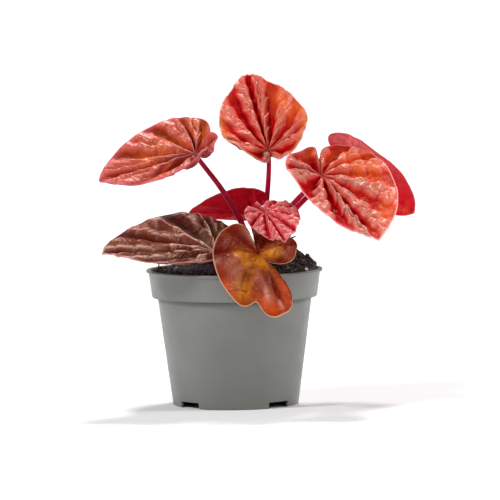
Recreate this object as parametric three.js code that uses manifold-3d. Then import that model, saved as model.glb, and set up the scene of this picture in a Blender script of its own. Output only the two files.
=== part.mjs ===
// A potted ripple peperomia with red leaves: a nursery pot, its soil, a short crown sunk in the soil,
// and eight leaves, each a petiole and a heart-shaped blade with sunken veins and raised puckers.
// Lengths are millimetres and angles are degrees. +Z is up, the front is -Y, and the origin is the
// centre of the pot's foot.

import * as THREE from "three";
import { mergeVertices } from "three/addons/utils/BufferGeometryUtils.js";
import Module from "manifold-3d";

const wasm = await Module();
wasm.setup();

// Driving dimensions

const GAP = 0.3; // between any two neighbouring pieces
const OVERSHOOT = 1; // how far a cutter runs past the face that it opens
const UP = new THREE.Vector3(0, 0, 1);

const POT_HEIGHT = 69;
const LIP_RADIUS = 45;
const LIP_HEIGHT = 1.4;
const BAND_TOP_RADIUS = 43.8;
const BAND_FOOT_RADIUS = 42.1;
const BAND_HEIGHT = 14.2;
const BODY_TOP_RADIUS = 39.3;
const FOOT_RADIUS = 32;
const WALL = 1.2;
const FLOOR_RISE = 3; // how far the floor stands above the foot
const PAD_RADIUS = 12; // the middle of the floor, which comes down flush with the foot
const PAD_SLOPE = 1.5;
const SHOULDER_RISE = 0.6;
const EDGE_ROUNDING = 0.5;
const POT_SEGMENTS = 60;

const DRAIN_COUNT = 4;
const FIRST_DRAIN = 43; // from +X
const DRAIN_WIDTH = 13;
const DRAIN_HEIGHT = 3.2;
const DRAIN_INNER = 24; // where the slot in the floor begins, from the axis
const VENT_START = -5; // the shallow relief beside each drain, from the middle of the front
const VENT_END = 18;
const VENT_HEIGHT = 0.6;

const SOIL_LEVEL = 67.4;
const MOUND_HEIGHT = 8;
const MOUND_X = 23;
const MOUND_Y = 9;
const MOUND_SPREAD = 17;
const COLLAR_DEPTH = 2; // the soil is pressed down round the crown
const COLLAR_SPREAD = 10;
const LUMP_HEIGHT = 0.4;
const LUMP_WAVES = [0.46, 0.41, 0.3, 0.62]; // radians a millimetre of the waves that make the lumps
const SOIL_RINGS = 9;
const SOIL_SEGMENTS = 48;

const CROWN_X = 13;
const CROWN_RADIUS = 8;
const CROWN_FOOT = 46;
const CROWN_TOP = 77;
const CROWN_ROUNDING = 3;
const SHOULDER_HEIGHT = 68.5; // below this the crown narrows to its rooted end
const NECK_HEIGHT = 57;
const NECK_RADIUS = 5.5;
const ROOT_RADIUS = 3;
const CROWN_SEGMENTS = 24;
const SOCKET_FLOOR = 70.5; // where the petioles start
const SOCKET_RING = 5.4;
const SOCKET_PLAY = 0.7; // between a petiole and its socket
const SOCKET_REACH = 0.35; // the share of a petiole that its socket follows
const SOCKET_STEPS = 4;

const PETIOLE_SIDES = 8;
const PETIOLE_STEPS = 12;
const PETIOLE_STANDOFF = 1.7; // from the petiole's end to the blade's middle surface

const BLADE_THICKNESS = 0.8;
const MARGIN_THICKNESS = 0.6;
const LEAST_FACING = 0.6; // limits how much deeper a steep stretch is, to keep the thickness across it
const BLADE_COLUMNS = 40; // four for each of the ten spaces between veins
const BLADE_RINGS = 7;
const VEIN_ARCH = 14; // how far a vein sets off to the side of the margin point that it runs to
const VEIN_PULL = 0.55; // how long it holds that first direction
const CUP_POWER = 1.3;
const PUCKER_START = 0.12; // the puckers reach full height this share of the tip length from the petiole
const PUCKER_POWER = 0.7; // under 1, so the veins are narrow and the crests between them broad
const PUCKER_MEAN = 0.6;
const CALM_FROM = 0.7; // from this share of the way out the puckers settle towards the margin
const MARGIN_CALM = 0.6; // by this share of their height
const QUILTING = 0.22; // how much the side veins lower every other ring of a crest

const NOTCH = 5; // the vein count, right or left, at the notch between the lobes

// Half of a blade's outline from the tip round the lobe to the notch where the lobes meet.
// x is a share of the half width, y a share of the tip length, or of the lobe length below zero.
const HALF_OUTLINE = [
  [0, 1],
  [0.27, 0.88],
  [0.66, 0.62],
  [0.94, 0.26],
  [1, -0.12],
  [0.86, -0.62],
  [0.54, -0.98],
  [0.23, -0.88],
  [0.08, -0.48],
  [0, -0.13],
];

// Where the midrib, the four side veins and the notch meet that outline, counted in its points.
const VEIN_ENDS = [0, 1.6, 3, 4.4, 5.8, 9];

// The leaves. "seat" is the bearing of the socket in the crown, or null for the middle one, and "via"
// the two points that the petiole bends towards. "at" is where the petiole meets the blade; heading,
// pitch and roll turn the blade, whose tip points along the heading. "half" is the half width left and
// right of the midrib, "lobe" the length of each lobe behind the petiole, and "rise" how far the margin
// stands above the flat at the tip, the right side, the lobes and the left side. "sweep" bends the tip
// and the lobes to the right, "blunt" fills the tip out, and each dent pulls the margin in: place, width
// and share.
const LEAVES = [
  {
    name: "left",
    color: 0xc8564a,
    seat: 150,
    via: [[10, 1, 95], [-14.8, 0.5, 120]],
    radii: [1.65, 1.15],
    at: [-19, -2, 127.5],
    turn: [197, -20, 36],
    length: 52,
    half: [25.5, 29],
    lobe: [7, 13.5],
    rise: [6, 2, 5, 18.5],
    sweep: [4, 0],
    pucker: 1.7,
  },
  {
    name: "top",
    color: 0xcf5a45,
    seat: null,
    via: [[16, 1, 95], [19.5, 13, 120]],
    radii: [1.5, 1.15],
    at: [18, 8, 128.5],
    turn: [104, 30, 14],
    length: 51.5,
    half: [22.5, 22.5],
    lobe: [11, 13],
    rise: [16, 18, -1, 18],
    sweep: [2, 1.5],
    pucker: 1.7,
  },
  {
    name: "right",
    color: 0xcb5f55,
    seat: 345,
    via: [[14.5, -1, 90], [35.2, -6, 107.5]],
    radii: [1.6, 1.25],
    at: [45, -10, 116],
    turn: [-55, -35, -15],
    length: 54,
    half: [37, 20],
    lobe: [18, 18],
    rise: [1, 9.5, 6, -2.5],
    sweep: [-2.5, -3.5],
    pucker: 1.7,
  },
  {
    name: "shaded",
    color: 0xb8403c,
    seat: 38,
    via: [[21.5, 5, 96.5], [45.5, 20, 110.5]],
    radii: [1.5, 1.2],
    at: [61.5, 31, 120.5],
    turn: [-10, -37, 53],
    length: 41,
    half: [23, 22],
    lobe: [16, 17.5],
    rise: [3, -5, -2.5, 2],
    sweep: [-4, -1],
    pucker: 1.4,
  },
  {
    name: "rear",
    color: 0xa82c35,
    seat: 89,
    via: [[13, 9, 84], [8.5, 20, 89]],
    radii: [1.4, 1.1],
    at: [8.5, 24, 97],
    turn: [168, -5, -25],
    length: 33,
    half: [20, 20],
    lobe: [12, 12],
    rise: [2, 3, 3, 5],
    sweep: [0, 0],
    pucker: 1.2,
  },
  {
    name: "young",
    color: 0xb8555a,
    seat: 297,
    via: [[16, -9, 86], [17, -29, 92]],
    radii: [1.2, 0.9],
    at: [15.5, -35, 99.5],
    turn: [-72, -28, -20],
    length: 24,
    half: [17, 10],
    lobe: [10, 10],
    rise: [-2.5, 1.5, 1, -5],
    sweep: [-3, -1.5],
    pucker: 1.2,
  },
  {
    name: "bronze",
    color: 0x74473d,
    seat: 200,
    via: [[5, -3, 82], [-9, -9.5, 73]],
    radii: [1.6, 1.2],
    at: [-9.5, -12, 78.5],
    turn: [206, 1, 28],
    length: 63.5,
    blunt: 0.15,
    half: [26, 32.5],
    lobe: [9, 15],
    rise: [2, 4, 9, 13.5],
    sweep: [-1, -1.5],
    pucker: 2,
  },
  {
    name: "front",
    color: 0xb0561e,
    seat: 252,
    via: [[12, -11, 86], [11.5, -36, 77]],
    radii: [1.55, 1.2],
    at: [12, -48, 80],
    turn: [-50, -72, -30],
    blunt: 0.35,
    length: 34.5,
    half: [21, 22],
    lobe: [8.5, 18],
    rise: [0, -4, -3, -9],
    sweep: [-2.5, 0],
    pucker: 1,
    dents: [[0.75, 0.35, 0.2], [-1.7, 0.5, 0.56]],
  },
];

const radians = THREE.MathUtils.degToRad;

// Booleans

function toSolid(geometry) {
  const bare = new THREE.BufferGeometry();
  bare.setAttribute("position", geometry.getAttribute("position"));
  bare.setIndex(geometry.getIndex());
  const merged = mergeVertices(bare, 1e-4);
  return new wasm.Manifold(
    new wasm.Mesh({
      numProp: 3,
      vertProperties: merged.getAttribute("position").array,
      triVerts: new Uint32Array(merged.getIndex().array),
    }),
  );
}

function toGeometry(solid) {
  const mesh = solid.getMesh();
  const geometry = new THREE.BufferGeometry();
  geometry.setAttribute("position", new THREE.BufferAttribute(mesh.vertProperties, 3));
  geometry.setIndex(new THREE.BufferAttribute(mesh.triVerts, 1));
  geometry.computeVertexNormals();
  return geometry;
}

function cut(geometry, cutters) {
  return toGeometry(cutters.reduce((solid, cutter) => solid.subtract(toSolid(cutter)), toSolid(geometry)));
}

// A solid of revolution about +Z from radius and height pairs that start and end on the axis.
function revolve(profile, segments) {
  const points = profile.map(([radius, height]) => new THREE.Vector2(radius, height));
  return new THREE.LatheGeometry(points, segments).rotateX(Math.PI / 2);
}

// Pot

// The radius of the body's outside at a height, and of the inside at the same height.
function bodyRadius(height) {
  const share = height / (POT_HEIGHT - BAND_HEIGHT);
  return THREE.MathUtils.lerp(FOOT_RADIUS, BODY_TOP_RADIUS, share);
}

const bandFoot = POT_HEIGHT - BAND_HEIGHT;
const lipFoot = POT_HEIGHT - LIP_HEIGHT;
const floorTop = FLOOR_RISE + WALL;
const insideShoulder = bandFoot + WALL;

const potProfile = [
  [0, 0],
  [PAD_RADIUS, 0],
  [PAD_RADIUS + PAD_SLOPE, FLOOR_RISE],
  [FOOT_RADIUS - WALL, FLOOR_RISE],
  [FOOT_RADIUS - WALL, 0],
  [FOOT_RADIUS, 0],
  [BODY_TOP_RADIUS, bandFoot],
  [BAND_FOOT_RADIUS - EDGE_ROUNDING, bandFoot + EDGE_ROUNDING / 2],
  [BAND_FOOT_RADIUS, bandFoot + 2 * EDGE_ROUNDING],
  [BAND_TOP_RADIUS, lipFoot],
  [LIP_RADIUS - EDGE_ROUNDING / 2, lipFoot],
  [LIP_RADIUS, lipFoot + EDGE_ROUNDING],
  [LIP_RADIUS, POT_HEIGHT - EDGE_ROUNDING],
  [LIP_RADIUS - EDGE_ROUNDING, POT_HEIGHT],
  [BAND_TOP_RADIUS - WALL + EDGE_ROUNDING, POT_HEIGHT],
  [BAND_TOP_RADIUS - WALL, POT_HEIGHT - EDGE_ROUNDING],
  [BAND_FOOT_RADIUS - WALL, insideShoulder + SHOULDER_RISE],
  [BODY_TOP_RADIUS - WALL, insideShoulder],
  [bodyRadius(floorTop) - WALL, floorTop],
  [PAD_RADIUS + PAD_SLOPE - WALL / 2, floorTop],
  [PAD_RADIUS - WALL / 2, WALL],
  [0, WALL],
];

// A box across the wall or the floor, between two radii and two heights, at a bearing from +X.
function radialBox(inner, outer, width, bottom, top, bearing) {
  return new THREE.BoxGeometry(outer - inner, width, top - bottom)
    .translate((inner + outer) / 2, 0, (bottom + top) / 2)
    .rotateZ(radians(bearing));
}

function potGeometry() {
  const cutters = [];
  const ventWidth = 2 * FOOT_RADIUS * Math.sin(radians((VENT_END - VENT_START) / 2));
  const beyond = FOOT_RADIUS + 2 * OVERSHOOT;
  const wallInner = FOOT_RADIUS - 2 * WALL;
  const floorOuter = FOOT_RADIUS - WALL;
  for (let i = 0; i < DRAIN_COUNT; i++) {
    const turn = (360 / DRAIN_COUNT) * i;
    const drain = FIRST_DRAIN + turn;
    const vent = -90 + (VENT_START + VENT_END) / 2 + turn;
    cutters.push(radialBox(wallInner, beyond, DRAIN_WIDTH, -OVERSHOOT, DRAIN_HEIGHT, drain));
    cutters.push(radialBox(DRAIN_INNER, floorOuter, DRAIN_WIDTH, OVERSHOOT, floorTop + OVERSHOOT, drain));
    cutters.push(radialBox(wallInner, beyond, ventWidth, -OVERSHOOT, VENT_HEIGHT, vent));
  }
  return cut(revolve(potProfile, POT_SEGMENTS), cutters);
}

// Soil

function soilHeight(x, y) {
  const away = (x - MOUND_X) ** 2 + (y - MOUND_Y) ** 2;
  const mound = MOUND_HEIGHT * Math.exp(-away / (2 * MOUND_SPREAD ** 2));
  const collar = COLLAR_DEPTH * Math.exp(-(((x - CROWN_X) ** 2 + y ** 2) / COLLAR_SPREAD ** 2));
  const [alongX, alongY, slantX, slantY] = LUMP_WAVES;
  const lumps = Math.sin(alongX * x + 1) * Math.cos(alongY * y - 1) + Math.sin(slantX * x - slantY * y) / 2;
  return SOIL_LEVEL + mound - collar + LUMP_HEIGHT * lumps;
}

// The soil fills the pot from the floor up, a gap clear of the walls, and its top is a mound of lumps.
function soilBlock() {
  const side = [
    [0, WALL + GAP],
    [PAD_RADIUS - WALL / 2 - 2 * GAP, WALL + GAP],
    [PAD_RADIUS + PAD_SLOPE - WALL / 2 - 2 * GAP, floorTop + GAP],
    [bodyRadius(floorTop) - WALL - GAP, floorTop + GAP],
    [BODY_TOP_RADIUS - WALL - GAP, insideShoulder + GAP],
    [BAND_FOOT_RADIUS - WALL - GAP, insideShoulder + SHOULDER_RISE + GAP],
  ];
  const share = (SOIL_LEVEL - bandFoot) / (lipFoot - bandFoot);
  const rim = THREE.MathUtils.lerp(BAND_FOOT_RADIUS, BAND_TOP_RADIUS, share) - WALL - 2 * GAP;
  const top = [];
  for (let ring = SOIL_RINGS; ring >= 0; ring--) top.push([(rim * ring) / SOIL_RINGS, SOIL_LEVEL]);
  const geometry = revolve([...side, ...top], SOIL_SEGMENTS);
  const position = geometry.getAttribute("position");
  for (let i = 0; i < position.count; i++) {
    if (position.getZ(i) < SOIL_LEVEL - 1e-3) continue;
    position.setZ(i, soilHeight(position.getX(i), position.getY(i)));
  }
  return geometry;
}

// The crown, or with some extra size the hole that it stands in.
function crownGeometry(extra) {
  const profile = [
    [0, CROWN_FOOT - extra],
    [ROOT_RADIUS + extra, CROWN_FOOT - extra],
    [NECK_RADIUS + extra, NECK_HEIGHT],
    [CROWN_RADIUS + extra, SHOULDER_HEIGHT],
    [CROWN_RADIUS + extra, CROWN_TOP - CROWN_ROUNDING],
    [CROWN_RADIUS - CROWN_ROUNDING / 3 + extra, CROWN_TOP - CROWN_ROUNDING / 3],
    [CROWN_RADIUS - CROWN_ROUNDING + extra, CROWN_TOP + extra],
    [0, CROWN_TOP + extra],
  ];
  return revolve(profile, CROWN_SEGMENTS).translate(CROWN_X, 0, 0);
}

// Petioles

// A closed round tube along a curve, with a radius at each end.
function taperedTube(curve, startRadius, endRadius, steps) {
  const frames = curve.computeFrenetFrames(steps, false);
  const positions = [];
  const triangles = [];
  for (let step = 0; step <= steps; step++) {
    const centre = curve.getPointAt(step / steps);
    const radius = THREE.MathUtils.lerp(startRadius, endRadius, step / steps);
    for (let side = 0; side < PETIOLE_SIDES; side++) {
      const angle = (2 * Math.PI * side) / PETIOLE_SIDES;
      const point = centre
        .clone()
        .addScaledVector(frames.normals[step], radius * Math.cos(angle))
        .addScaledVector(frames.binormals[step], radius * Math.sin(angle));
      positions.push(...point.toArray());
    }
  }
  const startCentre = positions.length / 3;
  positions.push(...curve.getPointAt(0).toArray(), ...curve.getPointAt(1).toArray());
  for (let side = 0; side < PETIOLE_SIDES; side++) {
    const next = (side + 1) % PETIOLE_SIDES;
    const last = steps * PETIOLE_SIDES;
    for (let step = 0; step < steps; step++) {
      const here = step * PETIOLE_SIDES;
      const there = here + PETIOLE_SIDES;
      triangles.push(here + side, here + next, there + next, here + side, there + next, there + side);
    }
    triangles.push(startCentre, next, side, startCentre + 1, last + side, last + next);
  }
  const geometry = new THREE.BufferGeometry();
  geometry.setAttribute("position", new THREE.Float32BufferAttribute(positions, 3));
  geometry.setIndex(triangles);
  geometry.computeVertexNormals();
  return geometry;
}

function bladeAxes(leaf) {
  const [heading, pitch, roll] = leaf.turn.map(radians);
  const along = new THREE.Vector3(
    Math.cos(heading) * Math.cos(pitch),
    Math.sin(heading) * Math.cos(pitch),
    Math.sin(pitch),
  );
  const level = new THREE.Vector3().crossVectors(along, UP).normalize();
  const lifted = new THREE.Vector3().crossVectors(level, along);
  const across = level.clone().multiplyScalar(Math.cos(roll)).addScaledVector(lifted, Math.sin(roll));
  const normal = lifted.clone().multiplyScalar(Math.cos(roll)).addScaledVector(level, -Math.sin(roll));
  return { across, along, normal };
}

function petioleCurve(leaf) {
  const start = new THREE.Vector3(CROWN_X, 0, SOCKET_FLOOR);
  if (leaf.seat !== null) {
    const seat = radians(leaf.seat);
    start.x += SOCKET_RING * Math.cos(seat);
    start.y += SOCKET_RING * Math.sin(seat);
  }
  const [firstVia, secondVia] = leaf.via.map((point) => new THREE.Vector3(...point));
  const end = new THREE.Vector3(...leaf.at).addScaledVector(bladeAxes(leaf).normal, -PETIOLE_STANDOFF);
  return new THREE.CubicBezierCurve3(start, firstVia, secondVia, end);
}

function petioleGeometry(leaf) {
  return taperedTube(petioleCurve(leaf), leaf.radii[0], leaf.radii[1], PETIOLE_STEPS);
}

// What a petiole's socket takes out of the crown: its lower part, a gap wider and a gap deeper.
function socketCutter(leaf) {
  const route = petioleCurve(leaf);
  const points = [route.getPointAt(0).addScaledVector(route.getTangentAt(0), -SOCKET_PLAY)];
  for (let step = 1; step <= SOCKET_STEPS; step++) {
    points.push(route.getPointAt((SOCKET_REACH * step) / SOCKET_STEPS));
  }
  const radius = leaf.radii[0] + SOCKET_PLAY;
  return taperedTube(new THREE.CatmullRomCurve3(points), radius, radius, 2 * SOCKET_STEPS);
}

// Blades

// The half outline at a place counted in its points, on a smooth curve through them.
function outlinePoint(place) {
  const last = HALF_OUTLINE.length - 1;
  const segment = Math.min(Math.floor(place), last - 1);
  const at = (i, axis) => {
    if (i < 0) return 2 * HALF_OUTLINE[0][axis] - HALF_OUTLINE[1][axis];
    if (i > last) return 2 * HALF_OUTLINE[last][axis] - HALF_OUTLINE[last - 1][axis];
    return HALF_OUTLINE[i][axis];
  };
  const f = place - segment;
  const smooth = (axis) => {
    const [a, b, c, d] = [-1, 0, 1, 2].map((step) => at(segment + step, axis));
    return b + 0.5 * f * (c - a + f * (2 * a - 5 * b + 4 * c - d + f * (3 * (b - c) + d - a)));
  };
  return [smooth(0), smooth(1)];
}

// The margin in the blade's own plane. Veins are counted from the midrib, minus to the left.
function marginPoint(leaf, vein) {
  const count = Math.abs(vein);
  const lower = Math.min(Math.floor(count), VEIN_ENDS.length - 2);
  const place = THREE.MathUtils.lerp(VEIN_ENDS[lower], VEIN_ENDS[lower + 1], count - lower);
  const [outX, outY] = outlinePoint(place);
  const right = vein >= 0;
  const lobe = right ? leaf.lobe[1] : leaf.lobe[0];
  const fullness = outY > 0 ? 1 - (leaf.blunt ?? 0) : 1;
  let x = outX ** fullness * (right ? leaf.half[1] : -leaf.half[0]);
  let y = outY * (outY > 0 ? leaf.length : lobe);
  for (const [centre, width, share] of leaf.dents ?? []) {
    const pull = 1 - share * Math.exp(-(((vein - centre) / width) ** 2));
    x *= pull;
    y *= pull;
  }
  x += y > 0 ? leaf.sweep[0] * (y / leaf.length) ** 2 : leaf.sweep[1] * (y / lobe) ** 2;
  return [x, y];
}

// A point of the blade's middle surface, at a vein count and a share of the way to the margin.
function bladePoint(leaf, axes, vein, share) {
  const [edgeX, edgeY] = marginPoint(leaf, vein);
  const bearing = Math.atan2(edgeX, edgeY);
  const arch = radians(VEIN_ARCH) * Math.sin(bearing) * Math.min(2 + 2 * Math.cos(bearing), 1);
  const start = bearing + arch;
  const reach = Math.hypot(edgeX, edgeY);
  const bow = 2 * (1 - share) * share * VEIN_PULL * reach;
  const x = bow * Math.sin(start) + share ** 2 * edgeX;
  const y = bow * Math.cos(start) + share ** 2 * edgeY;
  const [tip, right, back, left] = leaf.rise;
  const cup =
    (Math.cos(bearing) > 0 ? tip : back) * Math.cos(bearing) ** 2 +
    (Math.sin(bearing) > 0 ? right : left) * Math.sin(bearing) ** 2;
  const nearNotch = Math.min(reach / leaf.lobe[vein < 0 ? 0 : 1], 1);
  const crest = Math.abs(Math.sin(Math.PI * vein)) ** PUCKER_POWER;
  const swell = Math.min((share * reach) / (PUCKER_START * leaf.length), 1);
  const settle = 1 - MARGIN_CALM * Math.max((share - CALM_FROM) / (1 - CALM_FROM), 0);
  const quilt = QUILTING * crest * Math.cos(Math.PI * BLADE_RINGS * share);
  const relief = leaf.pucker * swell * settle * (crest - PUCKER_MEAN + quilt);
  const z = cup * nearNotch * share ** CUP_POWER + relief;
  return new THREE.Vector3(...leaf.at)
    .addScaledVector(axes.across, x)
    .addScaledVector(axes.along, y)
    .addScaledVector(axes.normal, z);
}

// Triangles of one side of a blade: a fan round the first vertex, then rings of squares.
function bladeTriangles() {
  const triangles = [];
  const vertex = (ring, column) => 1 + (ring - 1) * BLADE_COLUMNS + (column % BLADE_COLUMNS);
  for (let column = 0; column < BLADE_COLUMNS; column++) {
    triangles.push([0, vertex(1, column + 1), vertex(1, column)]);
    for (let ring = 1; ring < BLADE_RINGS; ring++) {
      const corners = [
        vertex(ring, column),
        vertex(ring, column + 1),
        vertex(ring + 1, column + 1),
        vertex(ring + 1, column),
      ];
      const turned = column % 2 === 0 ? corners : [...corners.slice(1), corners[0]];
      triangles.push([turned[0], turned[1], turned[2]], [turned[0], turned[2], turned[3]]);
    }
  }
  return triangles;
}

function bladeGeometry(leaf) {
  const axes = bladeAxes(leaf);
  const points = [new THREE.Vector3(...leaf.at)];
  for (let ring = 1; ring <= BLADE_RINGS; ring++) {
    for (let column = 0; column < BLADE_COLUMNS; column++) {
      const vein = ((2 * column) / BLADE_COLUMNS - 1) * NOTCH;
      points.push(bladePoint(leaf, axes, vein, ring / BLADE_RINGS));
    }
  }
  const face = bladeTriangles();
  const sheet = new THREE.BufferGeometry().setFromPoints(points);
  sheet.setIndex(face.flat());
  sheet.computeVertexNormals();

  const normals = sheet.getAttribute("normal");
  const count = points.length;
  const firstMargin = count - BLADE_COLUMNS;
  const positions = [];
  for (const side of [0.5, -0.5]) {
    points.forEach((point, i) => {
      const thickness = i < firstMargin ? BLADE_THICKNESS : MARGIN_THICKNESS;
      const facing = new THREE.Vector3().fromBufferAttribute(normals, i).dot(axes.normal);
      const depth = thickness / Math.max(facing, LEAST_FACING);
      positions.push(...point.clone().addScaledVector(axes.normal, side * depth).toArray());
    });
  }
  const triangles = [...face.flat(), ...face.flatMap(([a, b, c]) => [count + a, count + c, count + b])];
  for (let column = 0; column < BLADE_COLUMNS; column++) {
    const here = firstMargin + column;
    const next = firstMargin + ((column + 1) % BLADE_COLUMNS);
    triangles.push(here, next, count + next, here, count + next, count + here);
  }
  const geometry = new THREE.BufferGeometry();
  geometry.setAttribute("position", new THREE.Float32BufferAttribute(positions, 3));
  geometry.setIndex(triangles);
  geometry.computeVertexNormals();
  return geometry;
}

// Assembly

function piece(name, geometry, color, roughness) {
  const mesh = new THREE.Mesh(geometry, new THREE.MeshStandardMaterial({ color, roughness, metalness: 0 }));
  mesh.name = name;
  return mesh;
}

const plant = new THREE.Group();
plant.add(piece("pot", potGeometry(), 0x858880, 0.45));
plant.add(piece("soil", cut(soilBlock(), [crownGeometry(2 * GAP)]), 0x231c19, 0.95));
plant.add(piece("crown", cut(crownGeometry(0), LEAVES.map(socketCutter)), 0x7a2a2c, 0.6));
for (const leaf of LEAVES) {
  plant.add(piece(`petiole_${leaf.name}`, petioleGeometry(leaf), 0xa81634, 0.35));
  plant.add(piece(`blade_${leaf.name}`, bladeGeometry(leaf), leaf.color, 0.3));
}

export default plant;
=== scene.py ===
"""Looks for a potted ripple peperomia with red leaves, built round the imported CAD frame.

Shapes are worked out in millimetres, with the CAD source's formulas and sizes, on finer grids and
with more relief. Some blades also have lifts and dents at the margin that the CAD source lacks, of a
few millimetres. Points are turned into metres when a mesh is made. +Z is up and -Y is the front.
"""

import math

import bmesh
import bpy
import numpy as np
from mathutils import Matrix, Vector


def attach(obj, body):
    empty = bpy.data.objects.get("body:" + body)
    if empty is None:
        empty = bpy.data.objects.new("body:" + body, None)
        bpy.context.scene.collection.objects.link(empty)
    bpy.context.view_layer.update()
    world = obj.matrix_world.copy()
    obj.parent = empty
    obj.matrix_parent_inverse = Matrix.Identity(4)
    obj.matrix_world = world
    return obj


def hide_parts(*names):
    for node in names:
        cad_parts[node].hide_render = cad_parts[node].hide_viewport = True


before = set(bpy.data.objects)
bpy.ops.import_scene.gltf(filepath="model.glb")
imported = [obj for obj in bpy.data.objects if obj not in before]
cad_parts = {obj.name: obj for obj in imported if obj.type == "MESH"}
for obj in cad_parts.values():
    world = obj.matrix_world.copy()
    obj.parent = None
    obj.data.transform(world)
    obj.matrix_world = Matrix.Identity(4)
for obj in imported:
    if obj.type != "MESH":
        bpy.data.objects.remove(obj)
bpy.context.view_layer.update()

MM = 0.001

# Sizes of the CAD source

POT_HEIGHT = 69.0
LIP_RADIUS = 45.0
LIP_HEIGHT = 1.4
BAND_TOP_RADIUS = 43.8
BAND_FOOT_RADIUS = 42.1
BAND_FOOT = 54.8
BODY_TOP_RADIUS = 39.3
FOOT_RADIUS = 32.0
WALL = 1.2
FLOOR_RISE = 3.0
PAD_RADIUS = 12.0
DRAIN_BEARINGS = (43, 133, 223, 313)
DRAIN_WIDTH = 13.0
DRAIN_HEIGHT = 3.2
DRAIN_INNER = 24.0
SOIL_LEVEL = 67.4
CROWN_X = 13.0
CROWN_RADIUS = 8.0
CROWN_TOP = 77.0
SOCKET_FLOOR = 70.5
SOCKET_RING = 5.4
BLADE_THICKNESS = 0.8
NOTCH = 5.0  # the vein count at the notch between the lobes
VEIN_ARCH = 14.0  # degrees to the side of the margin point that a vein runs to, where it sets off
VEIN_PULL = 0.55
CUP_POWER = 1.3
CALM_FROM = 0.7  # from this share of the way out the ripples fade towards the margin
GAP = 0.3  # between the soil and the pot
MOUND_PLACE = (23, 9)
MOUND_HEIGHT = 8.0
MOUND_SPREAD = 17.0
COLLAR_DEPTH = 2.0
COLLAR_SPREAD = 10.0
LUMP_HEIGHT = 0.4

# Sizes of the visual model alone

AXIS_HOLE = 0.2  # the profiles of round pieces stop this far from the axis
SOIL_RADIUS = 41.9
SCATTER_RADIUS = 41.0
CRUMB_REACH = 41.6
FUZZ_REACH = 41.5
FIBRE_REACH = 41.3
CROWN_CLEARANCE = 6.0  # no crumbs nearer to the crown's middle
FROST_PLACE = (-17, -14)
CRUMBS = ((3400, 0.3, 0.9, 1), (420, 0.9, 1.9, 2))  # count, least and greatest radius, subdivisions
FUZZ_COUNT = 1300
FIBRE_COUNT = 170
PERLITE = ((36.5, -19, 0.9), (-30, 12, 0.8), (4, 31, 1.0), (-12, 30, 0.7), (30, 24, 0.8))  # x, y, radius
SWELL_SHARE = 0.14  # the ripples reach full height this share of the length from the petiole
ROLL_FROM = 0.86  # from this share of the way out the margin turns down
EDGE_ROUND = 0.04  # the share of a blade's reach over which its edge is rounded
GROOVE_WIDTH = 1.2
# Widths of the painted highlight lines along the crests and beside the side veins
CREST_HIGHLIGHT_WIDTH = 0.55
SIDE_HIGHLIGHT_WIDTH = 0.45
CRINKLE_SIZES = (4.5, 1.9)
CRINKLE_HEIGHTS = (0.22, 0.13)

# Seeds

SOIL_SEED = 1
PERLITE_SEED = 3
FUZZ_SEED = 5
FIBRE_SEED = 8
CRUMB_SEED = 11
CROWN_SEED = 21
SPRIG_SEED = 31
BLADE_SEED = 60

# A blade's right half: sideways and lengthwise shares of its reach, from the tip to the notch
HALF_OUTLINE = np.array(
    [
        (0, 1),
        (0.27, 0.88),
        (0.66, 0.62),
        (0.94, 0.26),
        (1, -0.12),
        (0.86, -0.62),
        (0.54, -0.98),
        (0.23, -0.88),
        (0.08, -0.48),
        (0, -0.13),
    ]
)
# Where the midrib, the four side veins and the notch meet the margin, counted in outline points
VEIN_ENDS = (0, 1.6, 3, 4.4, 5.8, 9)

# Each leaf: sizes first, then looks. A stalk starts at a bearing round the crown ("seat"; none is its
# middle), bends towards two places ("via") and ends at the blade ("at"). "turn" is the heading, pitch
# and roll. "half" and "lobe" are the reach sideways and back (left, right). "rise" is the margin's
# height at the tip, the right side, the lobes and the left side. "sweep" bends the tip and the lobes
# to the right, and "blunt" fills the tip out. A dent pulls the margin in: vein, width and share.
# "pucker" is the ripples' full height, "valley" the share of a ripple that is valley floor and "step"
# the distance between side veins. "sharp" makes the crests sharper, "scallop" makes them wind,
# "quilt" lowers them at the side veins, "forks" splits wide ones in two, "lines" is how strong the
# painted highlights are on them and beside the side veins, and "calm" is how far they fade at the margin.
# "crinkle" is how rough the blade is, "roll" is how far the margin turns down (left, right), and
# "sinus" is how far the notch closes (left, right). A lift is a vein, its spread and a height at the
# margin. A bubble is a vein, a share of the way to the margin, their spreads and a height. A tint is
# a patch of colour: kind, vein, share, spreads and strength. What isn't given is as in the plain leaf.
PLAIN_LEAF = dict(
    blunt=0,
    dents=(),
    valley=0.1,
    calm=0.7,
    roll=(0.3, 0.3),
    sinus=(0, 0),
    lines=(0, 0),
    lifts=(),
    bubbles=(),
)
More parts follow.
